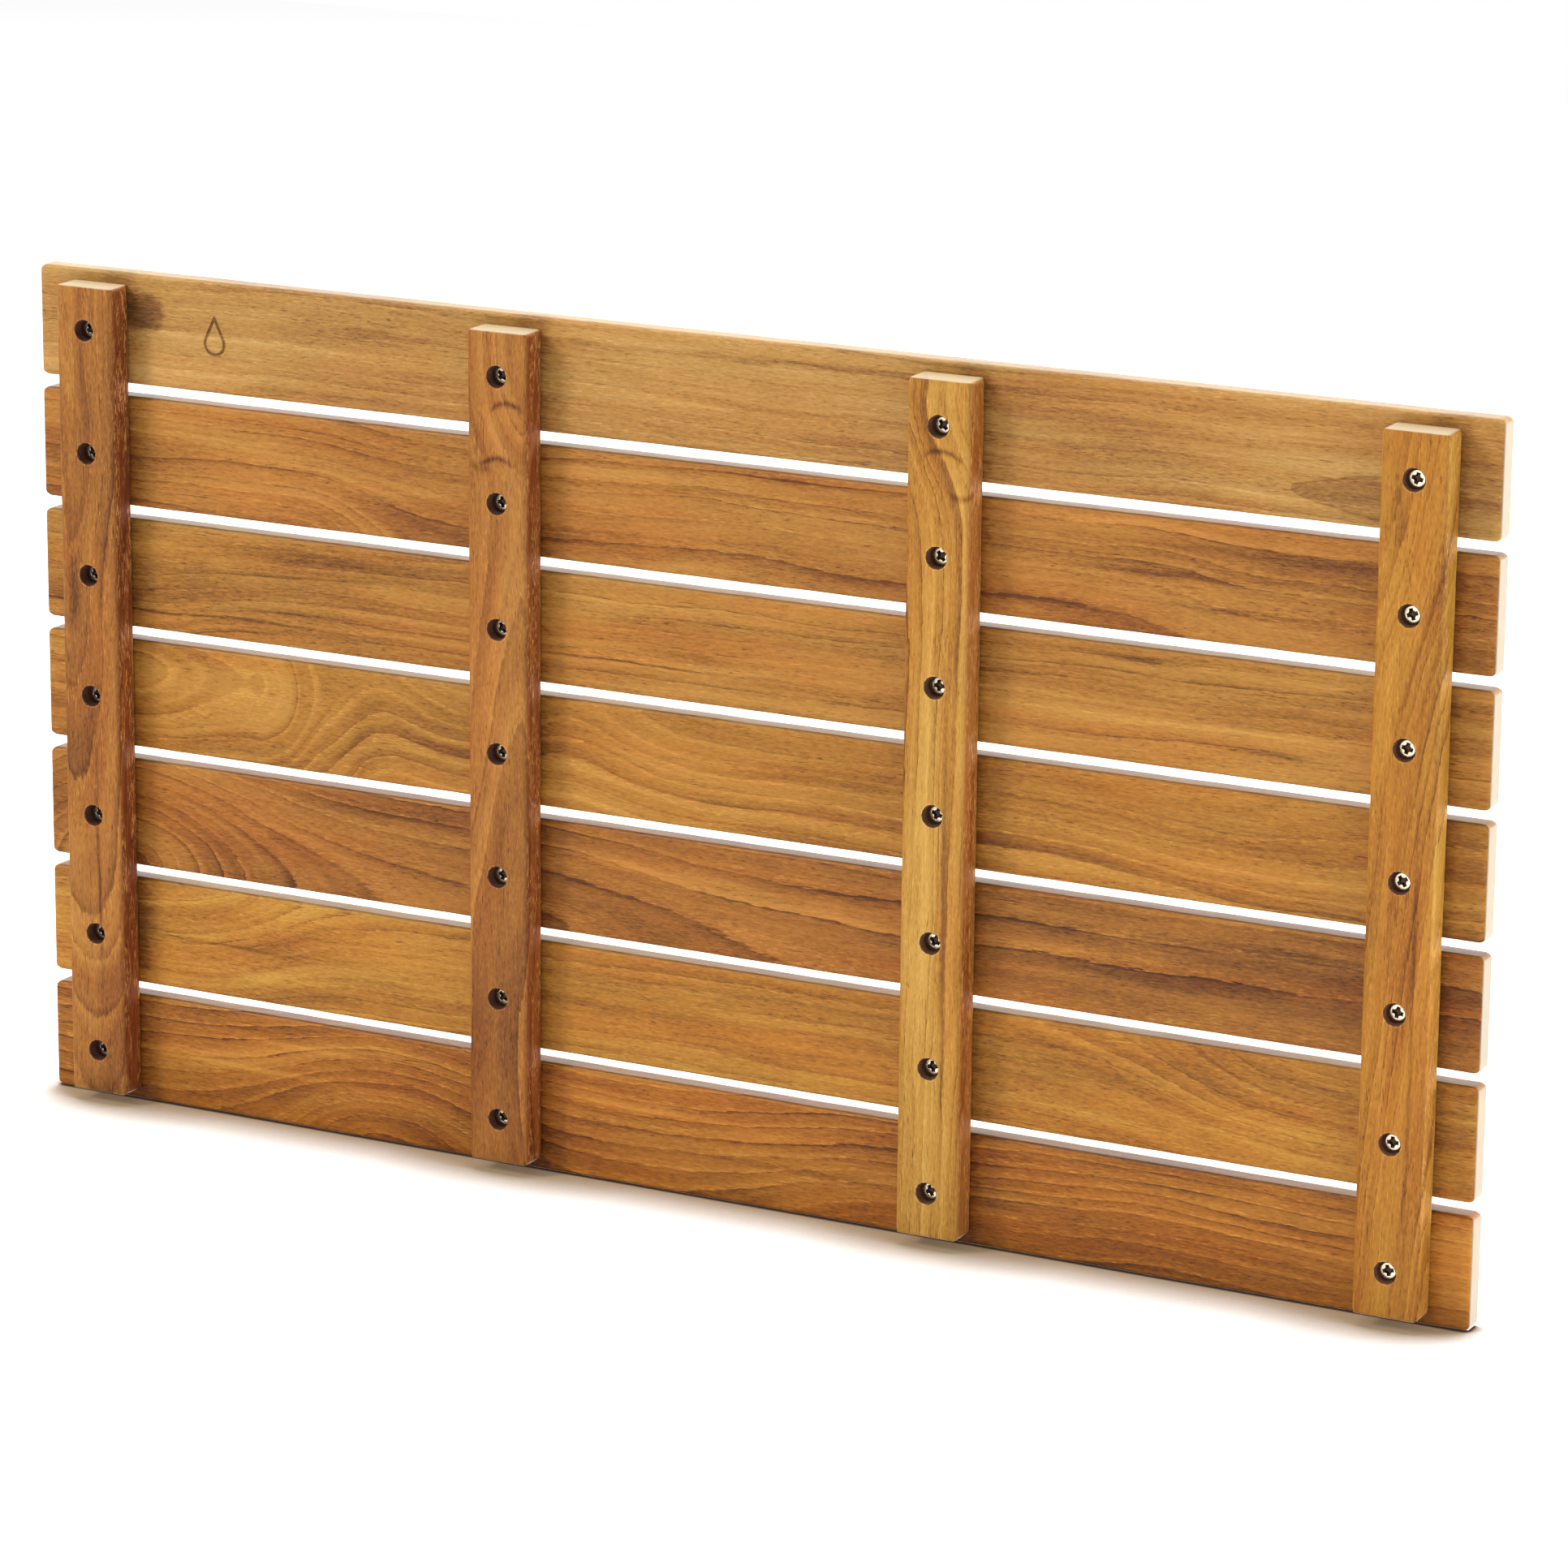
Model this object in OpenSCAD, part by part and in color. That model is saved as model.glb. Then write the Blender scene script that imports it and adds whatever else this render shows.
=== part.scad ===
// Slatted wooden bath mat (duckboard), lying flat as it is used.
// The origin is at the centre of the footprint, on the floor, under the battens.
// +X runs along the slats, +Y across them, and +Z up to the face that is stood on.

/* [Mat] */
// Length of the mat, which is the length of each slat
mat_length = 762; // [600:1:900]

/* [Slats] */
// Width of one slat
slat_width = 55.2; // [45:0.1:70]
// Thickness of one slat
slat_thickness = 11.5; // [10.5:0.5:16]
// Clear gap between two slats, where water drains
slat_gap = 5.8; // [4:0.1:12]
// Radius on the long edges of a slat
slat_edge_radius = 2; // [0.5:0.1:3]
// Radius on the edges across the ends of a slat
slat_end_radius = 1.4; // [0.5:0.1:3]
// Radius of a slat's corners, seen from above
slat_corner_radius = 3.4; // [1:0.1:8]

/* [Battens] */
// Width of one batten
batten_width = 32.6; // [25:0.1:45]
// Thickness of one batten, which is how high the slats stand off the floor
batten_thickness = 16; // [14:0.5:18]
// Distance from a slat's end to the nearest batten
batten_overhang = 19; // [5:1:60]
// Distance from a batten's end to the mat's long edge
batten_inset = 6; // [2:0.5:15]
// Radius on the long edges of a batten
batten_edge_radius = 3; // [0.5:0.1:4]
// Radius on the edges across the ends of a batten
batten_end_radius = 0.9; // [0.3:0.1:3]
// Radius of a batten's corners, seen from above
batten_corner_radius = 2.4; // [0.5:0.1:4]

/* [Screws] */
// Diameter of the counterbore that sinks a screw's head into the batten
bore_diameter = 10; // [9:0.1:12]
// Depth of the counterbores' floor below each batten's underside, from -X to +X
bore_depths = [7.4, 6.8, 6.2, 4.8]; // [3:0.1:8]
// Diameter of a screw's countersunk head
head_diameter = 8.2; // [7:0.1:8.8]
// Height that the head stands above the counterbore's floor
head_stand = 1; // [0.6:0.1:1.5]
// Diameter of a screw's shank
shank_diameter = 4; // [3:0.1:4.5]
// Length of a screw, from the top of its head to its tip
screw_length = 18; // [16:0.5:18]
// Width across the arms of the cross recess in a screw's head
recess_span = 5.4; // [3:0.1:5.6]
// Width of one arm of the cross recess
recess_arm = 1.5; // [0.6:0.1:1.8]
// Depth of the cross recess
recess_depth = 1.5; // [1:0.1:1.6]
// Diameter of the round pit where the arms of the recess cross
recess_pit = 3; // [2:0.1:3.6]

/* [Hidden] */
slat_count = 7;
batten_count = 4;

// Wood tones, one for each slat and each batten, and the plated steel of the screws
SLAT_TONES = ["#C08B55", "#AD7440", "#A2683A", "#BA8448", "#A66F3D", "#B8803F", "#A06A3A"];
BATTEN_TONES = ["#9A6237", "#A0683C", "#B98346", "#B57C3F"];
STEEL = "#CFCCC2";

slat_pitch = slat_width + slat_gap;
mat_width = slat_count * slat_pitch - slat_gap;
batten_length = mat_width - 2 * batten_inset;
batten_pitch = (mat_length - 2 * batten_overhang - batten_width) / (batten_count - 1);

// Clearance around the shank, and around the thread in its pilot hole
shank_clearance = 0.1;
pilot_clearance = 0.05;
// Straight rim of the head above its cone, and the cone's height at 90 degrees
head_rim = 0.4;
hole_diameter = shank_diameter + 2 * shank_clearance;
cone_height = (head_diameter - hole_diameter) / 2;
tip_length = 3;
// Overlap of cutting tools, so that no skin is left at a face
cut = 1;

$fn = 64;

// Centre of one slat across the mat, counted from the -Y edge
function slat_y(slat_index) = (slat_index - (slat_count + 1) / 2) * slat_pitch;

// Centre of one batten along the mat, counted from the -X end
function batten_x(batten_index) = (batten_index - (batten_count + 1) / 2) * batten_pitch;

// Heights above the floor in one batten: the head's face, its cone's end, and the screw's tip
function head_top(batten_index) = bore_depths[batten_index - 1] - head_stand;
function cone_end(batten_index) = head_top(batten_index) + head_rim + cone_height;
function screw_tip(batten_index) = head_top(batten_index) + screw_length;

// Rectangle with round corners, centred
module round_rect(size_x, size_y, radius) {
    square([size_x - 2 * radius, size_y], center = true);
    square([size_x, size_y - 2 * radius], center = true);
    for (side_x = [-1, 1], side_y = [-1, 1])
        translate([side_x * (size_x / 2 - radius), side_y * (size_y / 2 - radius)])
            circle(r = radius);
}

// Board lying along X, centred, with its long edges, end edges and corners rounded
module board(length, width, thickness, edge_radius, end_radius, corner_radius) {
    intersection() {
        linear_extrude(height = thickness, center = true)
            round_rect(length, width, corner_radius);
        rotate([90, 0, 90])
            linear_extrude(height = length, center = true)
                round_rect(width, thickness, edge_radius);
        rotate([90, 0, 0])
            linear_extrude(height = width, center = true)
                round_rect(length, thickness, end_radius);
    }
}

// Places its children at each screw of one batten, with Z = 0 at the floor
module at_screws(batten_index) {
    for (slat_index = [1 : slat_count])
        translate([batten_x(batten_index), slat_y(slat_index), 0])
            children();
}

// Blind pilot hole for the threaded end, cut up into a slat
module pilot_hole(batten_index) {
    pilot_radius = shank_diameter / 2 + pilot_clearance;
    tip_start = screw_tip(batten_index) - tip_length;
    translate([0, 0, batten_thickness - cut])
        cylinder(r = pilot_radius, h = tip_start - batten_thickness + cut);
    translate([0, 0, tip_start])
        cylinder(r1 = pilot_radius, r2 = 0, h = tip_length + pilot_clearance);
}

// Counterbore, countersink and clearance hole, cut up through a batten
module screw_hole(batten_index) {
    bore_depth = bore_depths[batten_index - 1];
    seat_end = cone_end(batten_index);
    seat_height = seat_end - bore_depth;
    translate([0, 0, -cut])
        cylinder(d = bore_diameter, h = bore_depth + cut);
    translate([0, 0, bore_depth])
        cylinder(d1 = hole_diameter + 2 * seat_height, d2 = hole_diameter, h = seat_height);
    translate([0, 0, seat_end - cut / 2])
        cylinder(d = hole_diameter, h = batten_thickness - seat_end + cut);
}

// Countersunk wood screw with a cross recess, driven upwards
module screw(batten_index) {
    face = head_top(batten_index);
    shank_start = cone_end(batten_index) - cut / 2;
    tip_start = screw_tip(batten_index) - tip_length;
    difference() {
        union() {
            translate([0, 0, face])
                cylinder(d = head_diameter, h = head_rim);
            translate([0, 0, face + head_rim])
                cylinder(d1 = head_diameter, d2 = hole_diameter, h = cone_height);
            translate([0, 0, shank_start])
                cylinder(d = shank_diameter, h = tip_start - shank_start);
            translate([0, 0, tip_start])
                cylinder(d1 = shank_diameter, d2 = 0.4, h = tip_length);
        }
        translate([0, 0, face - cut])
            cylinder(d = recess_pit, h = recess_depth + cut);
        for (turn = [0, 90])
            rotate([0, 0, turn])
                translate([-recess_span / 2, -recess_arm / 2, face - cut])
                    cube([recess_span, recess_arm, recess_depth + cut]);
    }
}

module slat(slat_index) {
    color(SLAT_TONES[slat_index - 1])
        difference() {
            translate([0, slat_y(slat_index), batten_thickness + slat_thickness / 2])
                board(mat_length, slat_width, slat_thickness,
                      slat_edge_radius, slat_end_radius, slat_corner_radius);
            for (batten_index = [1 : batten_count])
                translate([batten_x(batten_index), slat_y(slat_index), 0])
                    pilot_hole(batten_index);
        }
}

module batten(batten_index) {
    color(BATTEN_TONES[batten_index - 1])
        difference() {
            translate([batten_x(batten_index), 0, batten_thickness / 2])
                rotate([0, 0, 90])
                    board(batten_length, batten_width, batten_thickness,
                          batten_edge_radius, batten_end_radius, batten_corner_radius);
            at_screws(batten_index)
                screw_hole(batten_index);
        }
}

module screws_batten(batten_index) {
    color(STEEL)
        at_screws(batten_index)
            screw(batten_index);
}

slat(1);  // slat_1
slat(2);  // slat_2
slat(3);  // slat_3
slat(4);  // slat_4
slat(5);  // slat_5
slat(6);  // slat_6
slat(7);  // slat_7
batten(1);  // batten_1
batten(2);  // batten_2
batten(3);  // batten_3
batten(4);  // batten_4
screws_batten(1);  // screws_batten_1
screws_batten(2);  // screws_batten_2
screws_batten(3);  // screws_batten_3
screws_batten(4);  // screws_batten_4
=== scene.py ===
"""Slatted wooden bath mat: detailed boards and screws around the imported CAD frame.

The mat lies flat, +Z up. The picture looks at its underside while it stands on its +Y long edge,
so the picture's up is -Y, its right is +X, and the camera is on the -Z side.
"""

import math
import random

import bpy
import numpy as np
from mathutils import Matrix, Vector


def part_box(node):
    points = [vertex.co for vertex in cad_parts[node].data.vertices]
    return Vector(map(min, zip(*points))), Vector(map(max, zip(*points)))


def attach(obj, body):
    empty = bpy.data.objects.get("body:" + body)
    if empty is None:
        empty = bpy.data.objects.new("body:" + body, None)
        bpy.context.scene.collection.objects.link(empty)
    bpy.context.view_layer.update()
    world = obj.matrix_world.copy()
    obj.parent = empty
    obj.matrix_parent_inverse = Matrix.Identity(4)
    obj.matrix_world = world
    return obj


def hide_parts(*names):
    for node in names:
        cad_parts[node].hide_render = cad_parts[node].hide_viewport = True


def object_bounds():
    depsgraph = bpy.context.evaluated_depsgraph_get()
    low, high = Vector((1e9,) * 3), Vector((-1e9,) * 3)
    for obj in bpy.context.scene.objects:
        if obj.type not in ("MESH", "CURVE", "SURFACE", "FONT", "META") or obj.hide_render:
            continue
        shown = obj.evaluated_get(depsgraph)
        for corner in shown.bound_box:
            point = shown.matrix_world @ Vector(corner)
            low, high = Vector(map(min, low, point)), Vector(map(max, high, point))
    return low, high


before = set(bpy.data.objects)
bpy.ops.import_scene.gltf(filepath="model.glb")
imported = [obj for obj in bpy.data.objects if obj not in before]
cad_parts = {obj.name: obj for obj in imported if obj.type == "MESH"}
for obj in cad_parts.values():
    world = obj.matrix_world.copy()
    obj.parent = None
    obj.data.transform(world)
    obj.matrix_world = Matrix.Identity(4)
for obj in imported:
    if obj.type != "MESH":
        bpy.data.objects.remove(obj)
CAD_LOW, CAD_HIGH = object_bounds()
MM = 0.001

SLATS = [f"slat_{i}" for i in range(1, 8)]
BATTENS = [f"batten_{i}" for i in range(1, 5)]
SCREWS = [f"screws_batten_{i}" for i in range(1, 5)]
# From one screw to the next along a batten, which is from one slat's middle to the next
SCREW_PITCH = (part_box(SLATS[-1])[0][1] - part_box(SLATS[0])[0][1]) / (len(SLATS) - 1)


# ---------------------------------------------------------------- camera, light and stage

# Where the camera stands: degrees right of the mat's normal, degrees above it, degrees of roll
VIEW_RIGHT, VIEW_ABOVE, VIEW_ROLL = 27.04, 15.01, 0.566
VIEW_DISTANCE = 2.877
VIEW_LENS = 141.4
# The point looked at, from the middle of the mat's box
VIEW_OFFSET = Vector((0.0345, -0.0031, -0.0058))

# Strength of the room's light under and above the mat
ROOM_UNDER, ROOM_ABOVE = 0.34, 0.5
# What the wood and the screws mirror: the room, a window, a ceiling and a backdrop from left to right
MIRROR_UNDER, MIRROR_WINDOW, MIRROR_CEILING, MIRROR_BACKDROP = 0.05, 1.5, 3.4, (3.6, 5.2)

# The white floors: colour, own light, and how far they reach
FLOOR_WHITE = (0.92, 0.92, 0.92, 1)
FLOOR_GLOW = 0.45
FLOOR_REACH = 3.5
# Gap between a floor and the mat, so that no two faces coincide
FLOOR_GAP = 0.0002
# Painted contact shadow on the floors: next to the mat the floor takes on the first colour, and right under
# its edge the second, a painted crevice shade
CONTACT_SHADOW_COLOUR, CONTACT_SHADOW_REACH = (0.30, 0.22, 0.14, 1), 0.055
CREVICE_SHADE_COLOUR, CREVICE_SHADE_REACH = (0.05, 0.03, 0.02, 1), 0.003


def make_camera():
    data = bpy.data.cameras.new("camera")
    data.lens = VIEW_LENS
    data.sensor_width = 36.0
    data.clip_start, data.clip_end = 0.05, 60.0
    camera = bpy.data.objects.new("camera", data)
    bpy.context.scene.collection.objects.link(camera)
    right, above = math.radians(VIEW_RIGHT), math.radians(VIEW_ABOVE)
    level = math.cos(above)
    towards = Vector((math.sin(right) * level, -math.sin(above), -math.cos(right) * level))
    target = (CAD_LOW + CAD_HIGH) / 2 + VIEW_OFFSET
    side = (-towards).cross(Vector((0, -1, 0))).normalized()
    up = side.cross(-towards)
    turned = Matrix((side, up, towards)).transposed() @ Matrix.Rotation(math.radians(VIEW_ROLL), 3, "Z")
    camera.matrix_world = Matrix.Translation(target + towards * VIEW_DISTANCE) @ turned.to_4x4()
    bpy.context.scene.camera = camera


def area_light(name, place, size, power):
    """Round soft panel, size metres across and power watts strong, that faces the mat."""
    data = bpy.data.lights.new(name, "AREA")
    data.shape = "DISK"
    data.size = size
    data.energy = power
    light = bpy.data.objects.new(name, data)
    light.location = place
    light.rotation_mode = "QUATERNION"
    light.rotation_quaternion = (-Vector(place)).to_track_quat("-Z", "Y")
    light.visible_camera = False
    bpy.context.scene.collection.objects.link(light)


def make_world():
    """White to the camera, a soft room to the wood, and a bright backdrop to its reflections."""
    world = bpy.data.worlds.new("studio")
    bpy.context.scene.world = world
    world.use_nodes = True
    graph = Nodes(world.node_tree)
    graph.tree.nodes.clear()
    direction = graph.put("TexCoord").outputs["Generated"]
    axes = graph.put("SeparateXYZ", {0: direction}).outputs
    room = graph.span(axes["Z"], -0.3, 0.6, ROOM_UNDER, ROOM_ABOVE)
    backdrop = graph.math("MULTIPLY", graph.span(axes["Z"], 0.45, 0.75),
                          graph.span(axes["X"], -0.3, 0.3, *MIRROR_BACKDROP))
    window = graph.math("MULTIPLY", graph.span(axes["Z"], -0.6, -0.8),
                        graph.span(axes["X"], -0.57, -0.44))
    ceiling = graph.math("MULTIPLY", graph.span(axes["Y"], -0.5, -0.85),
                         graph.span(axes["Z"], 0.05, -0.15))
    mirrored = graph.span(axes["Z"], -0.3, 0.6, MIRROR_UNDER, ROOM_ABOVE)
    mirrored = graph.math("ADD", graph.math("MULTIPLY_ADD", window, MIRROR_WINDOW, mirrored), backdrop)
    mirrored = graph.math("MULTIPLY_ADD", ceiling, MIRROR_CEILING, mirrored)
    paths = graph.put("LightPath").outputs
    room = graph.blend(room, mirrored, paths["Is Glossy Ray"])
    strength = graph.blend(room, 1.0, paths["Is Camera Ray"])
    background = graph.put("Background", {"Color": (1, 1, 1, 1), "Strength": strength})
    output = graph.put("OutputWorld")
    graph.feed(output.inputs["Surface"], background.outputs[0])


def painted_contact_shadow(graph, colour, under_battens):
    """Painted contact shadow: the glossy white sheet is coloured darker and warmer close to the wood that
    stands on it.
    """
    open_sky = graph.put("AmbientOcclusion", {"Distance": CONTACT_SHADOW_REACH}, samples=8).outputs["AO"]
    # Only next to the mat, not where the two floors cross, and not behind the standing mat
    place = graph.put("SeparateXYZ", {0: graph.put("TexCoord").outputs["Object"]}).outputs
    beyond = graph.span(graph.math("ABSOLUTE", place["X"]), CAD_HIGH.x + 0.025, CAD_HIGH.x + 0.055)
    if under_battens:
        beyond = graph.math("MAXIMUM", beyond, graph.span(place["Y"], CAD_HIGH.y - 0.12, CAD_HIGH.y - 0.05))
    else:
        beyond = graph.math("MAXIMUM", beyond, graph.span(place["Z"], CAD_HIGH.z - 0.002, CAD_HIGH.z + 0.004))
    open_sky = graph.blend(open_sky, 1.0, beyond)
    # Painted shadow: the floor's colour goes towards the shadow colour where ambient occlusion finds the mat
    colour = graph.colour(CONTACT_SHADOW_COLOUR, colour, graph.span(open_sky, 0.50, 0.985))
    if under_battens:
        return colour
    # Painted crevice shade right under the mat's edge
    crevice_shade = graph.put("AmbientOcclusion", {"Distance": CREVICE_SHADE_REACH}, samples=8).outputs["AO"]
    crevice_shade = graph.blend(crevice_shade, 1.0, beyond)
    return graph.colour(CREVICE_SHADE_COLOUR, colour, graph.span(crevice_shade, 0.45, 0.8))


def one_sided_floor(name, points, faces, camera_only):
    """A white plane that is there only from its front, so it never hides the mat from behind."""
    mesh = bpy.data.meshes.new(name)
    mesh.from_pydata(points, [], faces)
    plane = bpy.data.objects.new(name, mesh)
    bpy.context.scene.collection.objects.link(plane)
    material = bpy.data.materials.new(name)
    material.use_nodes = True
    graph = Nodes(material.node_tree)
    graph.tree.nodes.clear()
    colour = painted_contact_shadow(graph, FLOOR_WHITE, under_battens=camera_only)
    diffuse = graph.put("BsdfDiffuse", {"Color": colour}).outputs[0]
    glow = graph.put("Emission", {"Color": colour, "Strength": FLOOR_GLOW}).outputs[0]
    lit = graph.put("AddShader", {0: diffuse, 1: glow}).outputs[0]
    clear = graph.put("BsdfTransparent").outputs[0]
    behind = graph.put("NewGeometry").outputs["Backfacing"]
    mixed = graph.put("MixShader", {0: behind, 1: lit, 2: clear}).outputs[0]
    graph.feed(graph.put("OutputMaterial").inputs["Surface"], mixed)
    mesh.materials.append(material)
    plane.visible_glossy = False
    if camera_only:
        plane.visible_diffuse = plane.visible_transmission = plane.visible_shadow = False


def make_stage():
    reach = FLOOR_REACH
    # The floor that the long edge stands on has a slot under that edge, which lets light reach it
    xs = (-reach, CAD_LOW.x + 1.5 * MM, CAD_HIGH.x - 1.5 * MM, reach)
    zs = (-reach, CAD_HIGH.z - 7.9 * MM, CAD_HIGH.z - 0.3 * MM, reach)
    edge = CAD_HIGH.y + FLOOR_GAP
    points = [(x, edge, z) for x in xs for z in zs]
    columns = [(4 * i, 4 * i + 4, 4 * i + 5, 4 * i + 1) for i in range(3)]
    faces = [tuple(corner + k for corner in column) for column in columns for k in range(3)]
    del faces[4]
    one_sided_floor("floor_at_long_edge", points, faces, camera_only=False)
    base = CAD_LOW.z - FLOOR_GAP
    points = [(-reach, -reach, base), (reach, -reach, base), (reach, reach, base), (-reach, reach, base)]
    one_sided_floor("floor_under_battens", points, [(0, 1, 2, 3)], camera_only=True)


# ---------------------------------------------------------------- shader nodes

class Nodes:
    """Adds nodes to one tree. A value is a number, a colour or another node's socket."""

    def __init__(self, tree):
        self.tree = tree

    def feed(self, socket, value):
        if isinstance(value, bpy.types.NodeSocket):
            self.tree.links.new(value, socket)
        else:
            socket.default_value = value

    def put(self, kind, inputs=None, **settings):
        node = self.tree.nodes.new("ShaderNode" + kind)
        for key, value in settings.items():
            setattr(node, key, value)
        for key, value in (inputs or {}).items():
            self.feed(node.inputs[key], value)
        return node

    def math(self, operation, *values):
        return self.put("Math", dict(enumerate(values)), operation=operation).outputs[0]

    def vector(self, x, y, z):
        return self.put("CombineXYZ", {0: x, 1: y, 2: z}).outputs[0]

    def noise(self, vector, detail=2.0, roughness=0.5):
        inputs = {"Vector": vector, "Scale": 1.0, "Detail": detail, "Roughness": roughness}
        return self.put("TexNoise", inputs).outputs["Fac"]

    def span(self, value, low, high, out_low=0.0, out_high=1.0):
        """Smooth step from low to high."""
        inputs = {"Value": value, "From Min": low, "From Max": high,
                  "To Min": out_low, "To Max": out_high}
        return self.put("MapRange", inputs, interpolation_type="SMOOTHSTEP").outputs[0]

    def blend(self, first, second, factor):
        """Mixes two numbers."""
        return self.put("Mix", {0: factor, 2: first, 3: second}, data_type="FLOAT").outputs[0]

    def colour(self, first, second, factor):
        """Mixes two colours."""
        return self.put("Mix", {0: factor, 6: first, 7: second}, data_type="RGBA").outputs[2]


def srgb(text):
    """Linear colour from six hexadecimal digits."""
    parts = [int(text[i:i + 2], 16) / 255 for i in (0, 2, 4)]
    return tuple(c / 12.92 if c <= 0.04045 else ((c + 0.055) / 1.055) ** 2.4 for c in parts) + (1.0,)


# ---------------------------------------------------------------- wood

# How strongly the fine grain, a streak or wave, and a stain change the wood's tone
GRAIN, STREAK_TONE, STAIN_TONE = 0.42, 0.6, 0.42
# Sawn ends of slats (X) and battens (Y): a paler end-grain colour with painted light for the bright backdrop
# they mirror, and how much of it shows
PALE_ENDS_AND_SHEEN = {"X": (srgb("9C9078"), 0.85), "Y": (srgb("AA9B7B"), 0.8)}
# Painted light and shade on the long edges of slats and the sides of battens, as tints against their faces:
# batten sides shaded darker, batten_1's the most, batten_4's lit paler, and slat edges lit cooler
LIT_SLAT_EDGES = (0.80, 0.95, 1.25, 1.0)
SHADED_BATTEN_SIDES = (0.82, 0.60, 0.72, 1.0)
DEEP_SHADED_BATTEN_SIDES = (0.74, 0.50, 0.66, 1.0)
LIT_BATTEN_SIDES = (1.22, 1.45, 1.90, 1.0)
# Paler torn fibres on the battens' sides, with painted glints
TORN_FIBRE_GLINT = srgb("D39A55")
# Painted shade on the walls of the screw holes: very dark wood, darker drilled wood as well, and how much of
# it shows
BORE_WALL_SHADE, BORE_WALL_SHADE_SHARE = (0.060, 0.021, 0.018, 1.0), 0.88
# Some patches of the wood are redder
BLUSH = (1.03, 0.86, 0.74, 1.0)

# A plain water drop pressed into the first slat, near its left batten
DROP_FROM_END, DROP_FROM_EDGE = 100 * MM, 27.0 * MM
DROP_HEIGHT, DROP_RADIUS = 18 * MM, 5.4 * MM
DROP_GROOVE, DROP_DEPTH = 1.7 * MM, 0.6 * MM
DROP_BOX_U, DROP_BOX_V = 14 * MM, 22 * MM
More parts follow.
